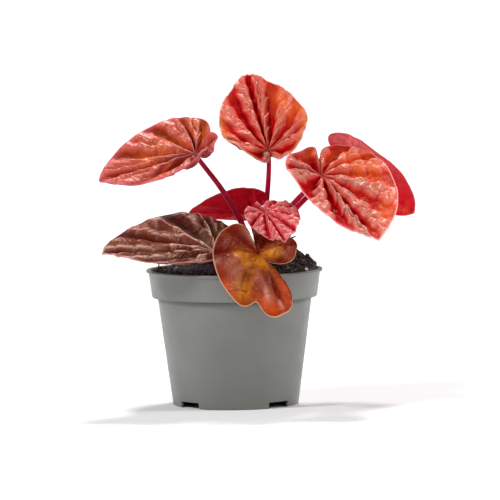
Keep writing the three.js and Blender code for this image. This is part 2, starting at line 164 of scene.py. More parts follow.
LEAVES = [
    dict(
        PLAIN_LEAF,
        name="left",
        seat=150,
        via=[(10, 1, 95), (-14.8, 0.5, 120)],
        radii=(1.65, 1.15),
        at=(-19, -2, 127.5),
        turn=(197, -20, 36),
        length=52,
        half=(25.5, 29),
        lobe=(7, 13.5),
        rise=(6, 2, 5, 18.5),
        sweep=(4, 0),
        dents=[(-2.6, 0.6, 0.3), (-4.05, 0.2, -0.12), (-3.5, 0.3, 0.1), (4.1, 0.4, -0.06)],
        pucker=4.2,
        look="blush",
        valley=0.2,
        sharp=0.7,
        scallop=0.05,
        step=9.5,
        quilt=0.14,
        calm=0.8,
        roll=(1.5, 0.4),
        forks=0.8,
        lines=(0.8, 0.25),
        crinkle=1,
        lifts=[(-4.1, 0.5, 8), (-1.7, 1.0, 2.6), (4.1, 0.4, 1.2), (2.0, 0.5, 1.5)],
        tints=[
            ("orange_and_glow", 0.8, 0.42, 1.3, 0.25, 0.9),
            ("orange_and_glow", 3.6, 0.6, 0.9, 0.3, 0.8),
            ("dark", -0.6, 0.2, 1.6, 0.16, 0.7),
            ("rose", -4, 0.95, 3, 0.13, 0.9),
            ("rose", 1, 1, 3, 0.08, 0.6),
        ],
    ),
    dict(
        PLAIN_LEAF,
        name="top",
        seat=None,
        via=[(16, 1, 95), (19.5, 13, 120)],
        radii=(1.5, 1.15),
        at=(18, 8, 128.5),
        turn=(104, 30, 14),
        length=51.5,
        half=(22.5, 22.5),
        lobe=(11, 13),
        rise=(16, 18, -1, 18),
        sweep=(2, 1.5),
        pucker=4.2,
        look="coral",
        valley=0.38,
        sharp=0.35,
        scallop=0.06,
        step=8.5,
        quilt=0.14,
        calm=0.6,
        roll=(0.8, 0.8),
        sinus=(0.3, 0.3),
        forks=0.6,
        lines=(0.35, 0.1),
        crinkle=1.3,
        tints=[
            ("orange_and_glow", 1.5, 0.78, 0.55, 0.18, 1.0),
            ("orange_and_glow", 2.6, 0.92, 1.0, 0.14, 0.9),
            ("tan", -3.0, 0.97, 1.3, 0.07, 1.0),
            ("tan", 3.4, 0.97, 1.2, 0.08, 0.7),
            ("orange_and_glow", -2.4, 0.82, 0.5, 0.12, 0.7),
        ],
    ),
    dict(
        PLAIN_LEAF,
        name="right",
        seat=345,
        via=[(14.5, -1, 90), (35.2, -6, 107.5)],
        radii=(1.6, 1.25),
        at=(45, -10, 116),
        turn=(-55, -35, -15),
        length=54,
        half=(37, 20),
        lobe=(18, 18),
        rise=(1, 9.5, 6, -2.5),
        sweep=(-2.5, -3.5),
        pucker=4.4,
        look="coral",
        valley=0.42,
        sharp=0.35,
        scallop=0.09,
        step=9,
        quilt=0.16,
        sinus=(0.25, 1.7),
        forks=0.6,
        lines=(0.5, 0.15),
        crinkle=1.1,
        tints=[
            ("orange_and_glow", -2.8, 0.6, 1.3, 0.3, 0.9),
            ("orange_and_glow", 4.4, 0.85, 0.4, 0.2, 0.8),
            ("orange_and_glow", -1, 0.88, 0.8, 0.14, 0.7),
            ("dark", 4.2, 0.35, 0.8, 0.3, 0.7),
            ("rose", 3, 0.97, 2.5, 0.06, 0.8),
            ("taupe", -1.5, 0.45, 0.35, 0.4, 0.9),
            ("taupe", 0.2, 0.6, 1.1, 0.5, 0.8),
            ("taupe", 2.6, 0.7, 1.2, 0.4, 0.7),
        ],
    ),
    dict(
        PLAIN_LEAF,
        name="shaded",
        seat=38,
        via=[(21.5, 5, 96.5), (45.5, 20, 110.5)],
        radii=(1.5, 1.2),
        at=(61.5, 31, 120.5),
        turn=(-10, -37, 53),
        length=41,
        half=(23, 22),
        lobe=(16, 17.5),
        rise=(3, -5, -2.5, 2),
        sweep=(-4, -1),
        blunt=0.25,
        pucker=1.6,
        look="crimson",
        sharp=0.1,
        scallop=0.08,
        step=9,
        quilt=0.1,
        roll=(0.5, 0.5),
        forks=0.3,
        crinkle=0.6,
        tints=[
            ("rose", 3.2, 0.7, 1.7, 0.5, 1.0),
            ("orange_and_glow", -0.25, 0.88, 0.35, 0.06, 0.8),
            ("red", -0.5, 0.6, 1.3, 0.5, 0.9),
        ],
    ),
    dict(
        PLAIN_LEAF,
        name="rear",
        seat=89,
        via=[(13, 9, 84), (8.5, 20, 89)],
        radii=(1.4, 1.1),
        at=(8.5, 24, 97),
        turn=(168, -5, -25),
        length=33,
        half=(20, 20),
        lobe=(12, 12),
        rise=(2, 3, 3, 5),
        sweep=(0, 0),
        pucker=1.5,
        look="crimson",
        sharp=0.1,
        scallop=0.1,
        step=8,
        quilt=0.1,
        forks=0.3,
        crinkle=0.6,
        tints=[("red", 0, 0.6, 5, 0.7, 0.9)],
    ),
    dict(
        PLAIN_LEAF,
        name="young",
        seat=297,
        via=[(16, -9, 86), (17, -29, 92)],
        radii=(1.2, 0.9),
        at=(15.5, -35, 99.5),
        turn=(-72, -28, -20),
        length=24,
        half=(17, 10),
        lobe=(10, 10),
        rise=(-2.5, 1.5, 1, -5),
        sweep=(-3, -1.5),
        pucker=3,
        look="rose",
        sharp=0.25,
        scallop=0.08,
        step=4.2,
        quilt=0.4,
        calm=0.3,
        roll=(0.2, 0.2),
        sinus=(0.4, 0.4),
        forks=0.5,
        lines=(0.3, 0.2),
        crinkle=2,
        tints=[
            ("dark", 4, 0.5, 1.2, 0.35, 0.8),
            ("dark", 2.1, 0.4, 0.4, 0.3, 0.6),
            ("red", 0, 0.2, 5, 0.25, 0.9),
        ],
    ),
    dict(
        PLAIN_LEAF,
        name="bronze",
        seat=200,
        via=[(5, -3, 82), (-9, -9.5, 73)],
        radii=(1.6, 1.2),
        at=(-9.5, -12, 78.5),
        turn=(206, 1, 28),
        length=63.5,
        half=(26, 32.5),
        lobe=(9, 15),
        rise=(2, 4, 9, 13.5),
        sweep=(-1, -1.5),
        blunt=0.15,
        pucker=4.4,
        look="bronze",
        sharp=0.8,
        scallop=0.05,
        step=11,
        quilt=0.35,
        calm=0.75,
        roll=(0.5, 1.5),
        forks=1,
        lines=(1, 0.4),
        crinkle=0.5,
        lifts=[(-1.1, 1.2, 3), (2, 0.6, 2)],
        tints=[
            ("orange_and_glow", 3.6, 0.45, 0.9, 0.4, 0.9),
            ("orange_and_glow", 2.5, 0.3, 0.6, 0.25, 0.8),
            ("rose", 4.6, 0.75, 0.6, 0.3, 0.7),
        ],
    ),
    dict(
        PLAIN_LEAF,
        name="front",
        seat=252,
        via=[(12, -11, 86), (11.5, -36, 77)],
        radii=(1.55, 1.2),
        at=(12, -48, 80),
        turn=(-50, -72, -30),
        length=34.5,
        half=(21, 22),
        lobe=(8.5, 18),
        rise=(0, -4, -3, -9),
        sweep=(-2.5, 0),
        blunt=0.35,
        dents=[
            (0.6, 0.3, 0.22),
            (-1.6, 0.45, 0.74),
            (-3.4, 0.7, -0.14),
            (0, 0.5, 0.04),
            (-4.45, 0.4, -0.7),
        ],
        pucker=0.7,
        look="amber",
        valley=0.02,
        sharp=0.1,
        scallop=0.1,
        step=12,
        quilt=0.2,
        sinus=(0.9, 0.5),
        forks=0,
        crinkle=2.2,
        bubbles=[
            (1.95, 0.6, 0.75, 0.24, 6),
            (0.45, 0.45, 0.5, 0.17, 5),
            (1.2, 0.65, 0.35, 0.25, -2.5),
            (-4.2, 0.7, 0.5, 0.3, -4),
            (0.05, 0.7, 0.2, 0.16, 2.6),
            (-0.38, 0.66, 0.2, 0.2, -2),
            (-0.8, 0.6, 0.25, 0.2, 3),
            (3.0, 0.8, 0.25, 0.3, -2),
        ],
        tints=[
            ("tan", 1.95, 0.62, 0.6, 0.2, 0.8),
            ("tan", 0.45, 0.45, 0.4, 0.13, 0.9),
            ("orange_and_glow", 1.9, 0.3, 1.0, 0.13, 1.0),
            ("orange_and_glow", 1.2, 0.68, 0.35, 0.25, 1.0),
            ("orange_and_glow", 2.6, 0.42, 0.5, 0.14, 0.9),
            ("orange_and_glow", -0.4, 0.12, 2.5, 0.12, 1.0),
            ("orange_and_glow", -2.2, 0.35, 1.0, 0.25, 0.9),
            ("dark", 3.2, 0.86, 0.7, 0.25, 0.9),
            ("dark", 1.9, 0.97, 0.5, 0.1, 0.8),
            ("dark", 3.9, 0.5, 0.9, 0.3, 0.9),
            ("dark", 1.35, 0.5, 0.14, 0.2, 0.8),
            ("dark", 2.6, 0.7, 0.3, 0.16, 0.9),
            ("dark", -0.35, 0.55, 0.15, 0.3, 0.8),
            ("dark", 0.45, 0.66, 0.35, 0.06, 0.8),
            ("dark", -4.4, 0.6, 0.5, 0.45, 1.0),
            ("red", 0.1, 0.85, 0.7, 0.15, 0.9),
            ("red", 1.6, 0.93, 0.4, 0.08, 0.9),
            ("red", -0.7, 0.75, 0.6, 0.2, 0.9),
            ("rose", 0.1, 0.66, 0.12, 0.14, 0.9),
            ("rose", -0.25, 0.85, 0.1, 0.1, 0.7),
            ("rose", 4.6, 0.6, 0.3, 0.3, 0.8),
        ],
    ),
]

LEAF_SLOTS = {"bronze": "bronze_leaf", "amber": "amber_leaf"}  # the others are red
# Kinds of tint. The orange kind is painted glow of light through the blades and painted glints, and on the
# amber leaf also its own orange. Tan is the top leaf's own yellowish margin, and painted highlight on the
# amber leaf's bubbles. Dark is mostly painted shade in hollows, round bubbles and under other leaves, with
# some of the amber leaf's own dark red-brown. Rose is the leaves' own pink, and painted highlight streaks
# at the amber leaf's tip. Red and taupe are the leaves' own colours.
TINTS = ("orange_and_glow", "tan", "dark", "rose", "red", "taupe")

# Grids

LARGE_BLADE = 38.0  # a longer blade has the finer grid
FINE_GRID = (240, 84)
COARSE_GRID = (170, 56)
STALK_SIDES = 16
STALK_STEPS = 60


# Mesh building


def add_object(name, data):
    added = bpy.data.objects.new(name, data)
    bpy.context.scene.collection.objects.link(added)
    return added


def make_piece(name, points, faces, material, slot, replaced=(), smooth=True):
    """A mesh object from points in millimetres, riding on the one body."""
    mesh = bpy.data.meshes.new(name)
    mesh.from_pydata((np.asarray(points) * MM).tolist(), [], faces)
    mesh.polygons.foreach_set("use_smooth", [smooth] * len(mesh.polygons))
    mesh.materials.append(material)
    mesh.update()
    piece = add_object(name, mesh)
    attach(piece, "root")
    if replaced:
        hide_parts(*replaced)
    return piece


def paint(piece, name, values):
    """Stores one number a vertex, for the material to read."""
    attribute = piece.data.attributes.new(name, "FLOAT", "POINT")
    attribute.data.foreach_set("value", np.asarray(values, np.float32).ravel())


def ramp(values, low, high):
    """0 up to low and 1 from high on, straight between them."""
    return np.clip((values - low) / (high - low), 0, 1)


def bell(distance, spread):
    """1 at no distance, falling away smoothly over the spread."""
    return np.exp(-((distance / spread) ** 2))


def waves(points, length, seed, count=18):
    """A smooth random field about -1 to 1 over points, with features of about this length."""
    rng = np.random.default_rng(seed)
    directions = rng.normal(size=(count, 3))
    directions /= np.linalg.norm(directions, axis=1)[:, None]
    rates = 2 * np.pi / (length * rng.uniform(0.7, 1.5, count))
    phases = rng.uniform(0, 2 * np.pi, count)
    field = np.sin((np.asarray(points) @ directions.T) * rates + phases)
    return field.sum(-1) / math.sqrt(count / 2) / 1.6


def joined(parts):
    """Many pairs of points and faces as one pair."""
    all_points, all_faces = [], []
    base = 0
    for points, faces in parts:
        all_points.append(points)
        all_faces += [[base + corner for corner in face] for face in faces]
        base += len(points)
    return np.concatenate(all_points), all_faces


def grid_faces(rows, columns, first=0):
    """Squares between rows of vertices that close round, each row after the one before it."""
    faces = []
    for row in range(rows - 1):
        here = first + row * columns
        there = here + columns
        for column in range(columns):
            after = (column + 1) % columns
            faces.append((here + column, here + after, there + after, there + column))
    return faces


def closed_rings(rings, columns, start, end):
    """Points and faces of rings of points, closed by a fan to a point at either end."""
    points = np.concatenate([*rings, [start], [end]])
    faces = grid_faces(len(rings), columns)
    start_index = len(rings) * columns
    last_ring = start_index - columns
    for column in range(columns):
        after = (column + 1) % columns
        faces.append((start_index, after, column))
        faces.append((start_index + 1, last_ring + column, last_ring + after))
    return points, faces


# Leaf shapes


def unit(vector):
    return vector / np.linalg.norm(vector)


def blade_axes(leaf):
    heading, pitch, roll = np.radians(leaf["turn"])
    along = np.array(
        [np.cos(heading) * np.cos(pitch), np.sin(heading) * np.cos(pitch), np.sin(pitch)]
    )
    level = unit(np.cross(along, (0, 0, 1)))
    lifted = np.cross(level, along)
    across = level * np.cos(roll) + lifted * np.sin(roll)
    normal = lifted * np.cos(roll) - level * np.sin(roll)
    return across, along, normal


def outline_points(places):
    """The half outline at places counted in its points, on a smooth curve through them."""
    last = len(HALF_OUTLINE) - 1
    segment = np.clip(np.floor(places).astype(int), 0, last - 1)
    part = (places - segment)[:, None]
    before = 2 * HALF_OUTLINE[0] - HALF_OUTLINE[1]
    beyond = 2 * HALF_OUTLINE[-1] - HALF_OUTLINE[-2]
    points = np.vstack([before, HALF_OUTLINE, beyond])
    a, b, c, d = (points[segment + step] for step in range(4))
    return b + 0.5 * part * (c - a + part * (2 * a - 5 * b + 4 * c - d + part * (3 * (b - c) + d - a)))


def margin_points(leaf, vein):
    """The margin in the blade's own plane, at vein counts from the midrib, minus to the left."""
    places = np.interp(np.abs(vein), range(6), VEIN_ENDS)
    outline = outline_points(places)
    right = vein >= 0
    lobe = np.where(right, leaf["lobe"][1], leaf["lobe"][0])
    ahead = outline[:, 1] > 0
    fullness = np.where(ahead, 1 - leaf["blunt"], 1)
    reach = np.maximum(outline[:, 0], 0) ** fullness
    x = reach * np.where(right, leaf["half"][1], -leaf["half"][0])
    y = outline[:, 1] * np.where(ahead, leaf["length"], lobe)
    narrowing = ramp(np.abs(vein), 3.8, 4.5)
    x = x * (1 - np.where(right, leaf["sinus"][1], leaf["sinus"][0]) * narrowing)
    for centre, width, share in leaf["dents"]:
        pull = 1 - share * bell(vein - centre, width)
        x, y = x * pull, y * pull
    tip_sweep, lobe_sweep = leaf["sweep"]
    bend = np.where(y > 0, tip_sweep * (y / leaf["length"]) ** 2, lobe_sweep * (y / lobe) ** 2)
    return x + bend, y


def ripples(leaf, vein, distance, share, spacing, seed):
    """The ripples' height and rise, 0 in a vein and 1 on a crest, side veins and painted highlight lines.
    """
    rng = np.random.default_rng(seed)
    band = np.floor(vein).astype(int) + 6
    shift = rng.uniform(0, 1, 14)[band]
    fork_depth = rng.uniform(0.7, 1.0, 14)[band]
    fork_place = rng.uniform(0.42, 0.58, 14)[band]
    part = vein - np.floor(vein)
    outward = np.where(vein < 0, 1 - part, part)
    beat = distance / leaf["step"] + shift - 1.4 * outward + 0.5 * np.sin(np.pi * part)
    phase = beat - np.floor(beat)
    groove = bell(np.minimum(phase, 1 - phase) * leaf["step"], GROOVE_WIDTH) * ramp(distance, 0, 6)
    wander = leaf["scallop"] * np.sin(2 * np.pi * beat) * np.sin(np.pi * part)
    wound = np.clip(part + wander, 0, 1)
    across = np.sin(np.pi * wound)
    bottom = leaf["valley"] * (0.8 + 0.6 * groove)
    rise = ramp(across, bottom, 1)
    opened = leaf["forks"] * fork_depth * ramp(share, 0.4, 0.65) * ramp(spacing, 5, 8)
    bent = np.clip(wound + 2 * (0.5 - fork_place) * wound * (1 - wound), 0, 1)
    half_part = 2 * bent - np.floor(np.minimum(2 * bent, 1.999))
    rise = rise * (1 - opened) + opened * np.minimum(1.15 * rise, 1) * np.sin(np.pi * half_part) ** 0.8
    soft, peaked = rise**0.8, rise**2.2
    height = soft + leaf["sharp"] * (peaked - soft)
    height = height * (1 - leaf["quilt"] * groove)
    # Painted highlight lines: along each crest, or each half of a forked one, and just past each side
    # vein.
    crest_highlight = (1 - opened) * bell((wound - 0.5) * spacing, CREST_HIGHLIGHT_WIDTH)
    fork_highlight = opened * bell((half_part - 0.5) * spacing / 2, CREST_HIGHLIGHT_WIDTH)
    crest_highlight = leaf["lines"][0] * np.maximum(crest_highlight, fork_highlight)
    side_highlight = leaf["lines"][1] * bell((phase - 0.12) * leaf["step"], SIDE_HIGHLIGHT_WIDTH)
    highlight_line = np.maximum(crest_highlight, side_highlight * ramp(distance, 0, 8) * rise)
    return height, rise, groove, highlight_line


def blade_sheet(leaf, seed):
    """The blade's middle surface: rings of points in millimetres, and what the material reads there."""
    columns, rings = FINE_GRID if leaf["length"] > LARGE_BLADE else COARSE_GRID
    veins = -NOTCH + 2 * NOTCH * np.arange(columns) / columns
    edge_x, edge_y = margin_points(leaf, veins)
    reach = np.hypot(edge_x, edge_y)
    bearing = np.arctan2(edge_x, edge_y)
    arch = np.radians(VEIN_ARCH) * np.sin(bearing) * np.minimum(2 + 2 * np.cos(bearing), 1)
    start = bearing + arch
    share = (np.arange(1, rings + 1) / rings)[:, None]
    bow = 2 * (1 - share) * share * VEIN_PULL * reach
    x = bow * np.sin(start) + share**2 * edge_x
    y = bow * np.cos(start) + share**2 * edge_y
    tip, right, back, left = leaf["rise"]
    cup = np.where(np.cos(bearing) > 0, tip, back) * np.cos(bearing) ** 2
    cup = cup + np.where(np.sin(bearing) > 0, right, left) * np.sin(bearing) ** 2
    lobe = np.where(veins < 0, leaf["lobe"][0], leaf["lobe"][1])
    near_notch = np.minimum(reach / lobe, 1)
    distance = share * reach
    vein_grid = np.broadcast_to(veins, distance.shape)
    share_grid = np.broadcast_to(share, distance.shape)
    step_x, step_y = (np.roll(side, -1, 1) - np.roll(side, 1, 1) for side in (x, y))
    spacing = np.hypot(step_x, step_y) / 2 * columns / (2 * NOTCH)
    height, crest, groove, highlight_line = ripples(leaf, vein_grid, distance, share_grid, spacing, seed)
    swell = np.minimum(distance / (SWELL_SHARE * leaf["length"]), 1)
    settle = 1 - leaf["calm"] * ramp(share, CALM_FROM, 1)
    z = cup * near_notch * share**CUP_POWER + leaf["pucker"] * swell * settle * (height - 0.5)
    rim = ramp(share, ROLL_FROM, 1) ** 2
    z = z - rim * np.where(veins < 0, leaf["roll"][0], leaf["roll"][1])
    for vein_at, spread, lift in leaf["lifts"]:
        z = z + lift * share**1.5 * near_notch * bell(veins - vein_at, spread)
    for vein_at, share_at, vein_spread, share_spread, rise in leaf["bubbles"]:
        z = z + rise * bell(vein_grid - vein_at, vein_spread) * bell(share_grid - share_at, share_spread)
    across, along, normal = blade_axes(leaf)
    points = np.array(leaf["at"]) + x[..., None] * across + y[..., None] * along + z[..., None] * normal
    flat = points.reshape(-1, 3)
    coarse = CRINKLE_HEIGHTS[0] * waves(flat, CRINKLE_SIZES[0], seed + 7)
    fine = CRINKLE_HEIGHTS[1] * waves(flat, CRINKLE_SIZES[1], seed + 8)
    crinkle = leaf["crinkle"] * (coarse + fine).reshape(distance.shape)
    points = points + (crinkle * swell * settle)[..., None] * normal
    paints = dict(crest=crest * swell, edge=share_grid, groove=groove * swell, highlight_line=highlight_line)
    for kind in TINTS:
        patch = np.zeros_like(distance)
        for named, vein_at, share_at, vein_spread, share_spread, strength in leaf["tints"]:
            if named == kind:
                spot = bell(vein_grid - vein_at, vein_spread) * bell(share_grid - share_at, share_spread)
                patch = np.maximum(patch, strength * spot)
        paints[kind] = patch
    return points, paints


def make_blade(leaf, seed, material):
    """The blade with its thickness and a rounded edge, and the values that its material reads."""
    sheet, paints = blade_sheet(leaf, seed)
    normal = blade_axes(leaf)[2]
    rings, columns = sheet.shape[:2]
    centre = np.array(leaf["at"], float)
    spread = np.roll(sheet, -1, 1) - np.roll(sheet, 1, 1)
    inner = np.concatenate([np.broadcast_to(centre, (1, columns, 3)), sheet[:-1]])
    outer = np.concatenate([sheet[1:], sheet[-1:]])
    facing = np.cross(spread, outer - inner)
    facing /= np.maximum(np.linalg.norm(facing, axis=-1), 1e-9)[..., None]
    lean = np.clip(np.abs(facing @ normal), 0.6, 1)
    share = paints["edge"]
    rounding = np.sqrt(np.clip(1 - ramp(share, 1 - EDGE_ROUND, 1) ** 2, 0.12, 1))
    depth = (BLADE_THICKNESS / 2 * rounding / lean)[..., None] * normal
    top = sheet + depth
    under = sheet - depth
    half = BLADE_THICKNESS / 2 * normal
    points = np.concatenate([[centre + half], top.reshape(-1, 3), [centre - half], under.reshape(-1, 3)])
    count = 1 + rings * columns
    faces = []
    for first, flip in ((0, False), (count, True)):
        side = [(first, first + 1 + (c + 1) % columns, first + 1 + c) for c in range(columns)]
        side += [face[::-1] for face in grid_faces(rings, columns, first + 1)]
        faces += [face[::-1] for face in side] if flip else side
    rim = 1 + (rings - 1) * columns
    for column in range(columns):
        after = (column + 1) % columns
        faces.append((rim + column, rim + after, count + rim + after, count + rim + column))
    slot = LEAF_SLOTS.get(leaf["look"], "red_leaf")
    piece = make_piece("leaf_" + leaf["name"], points, faces, material, slot, ["blade_" + leaf["name"]])
    for name, values in paints.items():
        one_side = np.concatenate([[values[0].mean()], values.ravel()])
        paint(piece, name, np.concatenate([one_side, one_side]))
    paint(piece, "under", np.repeat([0.0, 1.0], count))
    return piece


# Stalks


def stalk_route(leaf):
    """The petiole's centreline, from its socket in the crown to the middle of the blade."""
    start = np.array([CROWN_X, 0, SOCKET_FLOOR], float)
    if leaf["seat"] is not None:
        seat = math.radians(leaf["seat"])
        start = start + SOCKET_RING * np.array([math.cos(seat), math.sin(seat), 0])
    end = np.array(leaf["at"], float)
    first, second = (np.array(point, float) for point in leaf["via"])
    t = np.linspace(0, 1, STALK_STEPS + 1)[:, None]
    return (1 - t) ** 3 * start + 3 * (1 - t) ** 2 * t * first + 3 * (1 - t) * t**2 * second + t**3 * end


def tube(route, radii, sides):
    """Points and faces of a closed round tube along a route of points."""
    route = np.asarray(route, float)
    along = np.gradient(route, axis=0)
    along /= np.linalg.norm(along, axis=1)[:, None]
    side = unit(np.cross(along[0], (0.3, 1, 0.2)))
    rings = []
    for step, point in enumerate(route):
        side = unit(side - along[step] * (side @ along[step]))
        other = np.cross(along[step], side)
        angles = 2 * np.pi * np.arange(sides) / sides
        circle = np.outer(np.cos(angles), side) + np.outer(np.sin(angles), other)
        rings.append(point + radii[step] * circle)
    return closed_rings(rings, sides, route[0], route[-1])


def make_stalk(leaf, material):
    route = stalk_route(leaf)
    t = np.linspace(0, 1, STALK_STEPS + 1)
    radii = leaf["radii"][0] + (leaf["radii"][1] - leaf["radii"][0]) * t
    radii = radii * (1 + 0.35 * bell(1 - t, 0.03) + 0.25 * bell(t, 0.06))
    points, faces = tube(route, radii, STALK_SIDES)
    piece = make_piece(
        "stalk_" + leaf["name"], points, faces, material, "petiole", ["petiole_" + leaf["name"]]
    )
    lengthwise = np.concatenate([np.repeat(t, STALK_SIDES), [0, 1]])
    paint(piece, "along", lengthwise)
    return piece


# Pot, soil and crown


def revolved(profile, segments):
    """Points and faces of a closed solid of revolution from radius and height pairs off the axis."""
    profile = np.asarray(profile, float)
    angles = 2 * np.pi * np.arange(segments) / segments
    rows = [
        np.stack([radius * np.cos(angles), radius * np.sin(angles), np.full(segments, height)], -1)
        for radius, height in profile
    ]
    return closed_rings(rows, segments, (0, 0, profile[0][1]), (0, 0, profile[-1][1]))


def rounded(corners, radius=0.5, steps=4):
    """A profile whose inner corners are rounded by a small radius."""
    corners = [np.array(corner, float) for corner in corners]
    made = [corners[0]]
    for before, here, after in zip(corners, corners[1:], corners[2:]):
        back, ahead = before - here, after - here
        cut = min(radius, 0.45 * np.linalg.norm(back), 0.45 * np.linalg.norm(ahead))
        a, b = here + unit(back) * cut, here + unit(ahead) * cut
        for t in np.linspace(0, 1, steps):
            made.append((1 - t) ** 2 * a + 2 * (1 - t) * t * here + t**2 * b)
    made.append(corners[-1])
    return made


def make_pot(material):
    outside = [
        (AXIS_HOLE, 0),
        (PAD_RADIUS, 0),
        (PAD_RADIUS + 1.5, FLOOR_RISE),
        (FOOT_RADIUS - WALL, FLOOR_RISE),
        (FOOT_RADIUS - WALL, 0),
        (FOOT_RADIUS, 0),
        (FOOT_RADIUS + 0.62, 4.7),
        (FOOT_RADIUS + 0.72, 5.0),
        (BODY_TOP_RADIUS, BAND_FOOT),
        (BAND_FOOT_RADIUS, BAND_FOOT + 0.2),
        (BAND_TOP_RADIUS, POT_HEIGHT - LIP_HEIGHT),
        (LIP_RADIUS, POT_HEIGHT - LIP_HEIGHT + 0.1),
        (LIP_RADIUS, POT_HEIGHT),
        (BAND_TOP_RADIUS - WALL, POT_HEIGHT),
        (BAND_FOOT_RADIUS - WALL, BAND_FOOT + WALL + 0.6),
        (BODY_TOP_RADIUS - WALL, BAND_FOOT + WALL),
        (FOOT_RADIUS - 0.6, FLOOR_RISE + WALL),
        (PAD_RADIUS + 0.9, FLOOR_RISE + WALL),
        (PAD_RADIUS - 0.6, WALL),
        (AXIS_HOLE, WALL),
    ]
    points, faces = revolved(rounded(outside), 192)
    piece = make_piece("pot_shell", points, faces, material, "pot", ["pot"])
    boxes = bmesh.new()
    for bearing in DRAIN_BEARINGS:
        for inner, outer, low, high in (
            (FOOT_RADIUS - 2 * WALL, FOOT_RADIUS + 2, -1, DRAIN_HEIGHT),
            (DRAIN_INNER, FOOT_RADIUS - WALL, 1, FLOOR_RISE + WALL + 1),
        ):
            place = Matrix.Rotation(math.radians(bearing), 4, "Z") @ Matrix.Translation(
                Vector(((inner + outer) / 2, 0, (low + high) / 2)) * MM
            )
            size = Matrix.Diagonal((*(Vector((outer - inner, DRAIN_WIDTH, high - low)) * MM), 1))
            bmesh.ops.create_cube(boxes, size=1, matrix=place @ size)
    cutter_mesh = bpy.data.meshes.new("drain_cutter")
    boxes.to_mesh(cutter_mesh)
    boxes.free()
    cutter = add_object("drain_cutter", cutter_mesh)
    cut = piece.modifiers.new("drains", "BOOLEAN")
    cut.operation = "DIFFERENCE"
    cut.solver = "EXACT"
    cut.use_self = True
    cut.object = cutter
    evaluated = piece.evaluated_get(bpy.context.evaluated_depsgraph_get())
    cut_mesh = bpy.data.meshes.new_from_object(evaluated)
    piece.modifiers.clear()
    piece.data = cut_mesh
    bpy.data.objects.remove(cutter)
    piece.data.set_sharp_from_angle(angle=math.radians(38))
    return piece


def soil_height(x, y):
    away = (x - MOUND_PLACE[0]) ** 2 + (y - MOUND_PLACE[1]) ** 2
    mound = MOUND_HEIGHT * np.exp(-away / (2 * MOUND_SPREAD**2))
    collar = COLLAR_DEPTH * bell(np.hypot(x - CROWN_X, y), COLLAR_SPREAD)
    lumps = np.sin(0.46 * x + 1) * np.cos(0.41 * y - 1) + np.sin(0.3 * x - 0.62 * y) / 2
    return SOIL_LEVEL + mound - collar + LUMP_HEIGHT * lumps


def frost_at(x, y):
    """How much of the pale fibre patch lies at a place on the soil."""
    return bell(x - FROST_PLACE[0], 9) * bell(y - FROST_PLACE[1], 15)


def make_soil(material):
    """The potting mix, from the pot's floor up to a rough, mounded surface."""
    rings, segments = 70, 240
    inset = WALL + GAP
    body = [
        (AXIS_HOLE, inset),
        (PAD_RADIUS - 1.2, inset),
        (PAD_RADIUS + 0.3, FLOOR_RISE + inset),
        (FOOT_RADIUS - 1, FLOOR_RISE + inset),
        (BODY_TOP_RADIUS - inset, BAND_FOOT + inset),
        (BAND_FOOT_RADIUS - inset, BAND_FOOT + inset + 0.6),
    ]
    top = [(SOIL_RADIUS * (1 - ring / rings) + AXIS_HOLE, SOIL_LEVEL) for ring in range(rings)]
    points, faces = revolved([*body, *top], segments)
    above = points[:, 2] > SOIL_LEVEL - 0.001
    surface = points[above]
    height = soil_height(surface[:, 0], surface[:, 1])
    inside = np.clip((SOIL_RADIUS - np.hypot(surface[:, 0], surface[:, 1])) / 2, 0, 1)
    rough = 0.45 * waves(surface, 4.5, SOIL_SEED) + 0.3 * waves(surface, 1.8, SOIL_SEED + 1)
    points[above, 2] = height + rough * inside
    piece = make_piece("soil_bed", points, faces, material, "soil", ["soil"])
    paint(piece, "frost", frost_at(points[:, 0], points[:, 1]) * 0.9 * above)
    return piece


def ball(subdivisions):
    """Points and faces of a ball with a radius of 1."""
    shape = bmesh.new()
    bmesh.ops.create_icosphere(shape, subdivisions=subdivisions, radius=1)
    points = np.array([vertex.co[:] for vertex in shape.verts])
    faces = [[vertex.index for vertex in face.verts] for face in shape.faces]
    shape.free()
    return points, faces


def scatter_on_soil(rng, count, reach=SCATTER_RADIUS):
    radius = reach * np.sqrt(rng.uniform(0, 1, count))
    angle = rng.uniform(0, 2 * np.pi, count)
    x, y = radius * np.cos(angle), radius * np.sin(angle)
    return np.stack([x, y, soil_height(x, y)], -1)


def make_crumbs(material):
    """Lumps of potting mix, many small and some larger, that touch neither the pot nor the crown."""
    rng = np.random.default_rng(CRUMB_SEED)
    crumbs, frost = [], []
    for count, low, high, subdivisions in CRUMBS:
        shape, shape_faces = ball(subdivisions)
        for place in scatter_on_soil(rng, count):
            size = rng.uniform(low, high)
            room = CRUMB_REACH - np.hypot(place[0], place[1])
            if room < size or np.hypot(place[0] - CROWN_X, place[1]) < CROWN_CLEARANCE:
                continue
            stretch = rng.uniform(0.6, 1.25, 3)
            lumps = 1 + 0.28 * rng.normal(size=len(shape))[:, None]
            points = place + shape * lumps * stretch * size + (0, 0, 0.25 * size)
            crumbs.append((points, shape_faces))
            patch = frost_at(place[0], place[1])
            frost.append(np.full(len(points), patch * rng.uniform(0.4, 1.0)))
    piece = make_piece("soil_crumbs", *joined(crumbs), material, "soil", smooth=False)
    paint(piece, "frost", np.concatenate(frost))
    return piece


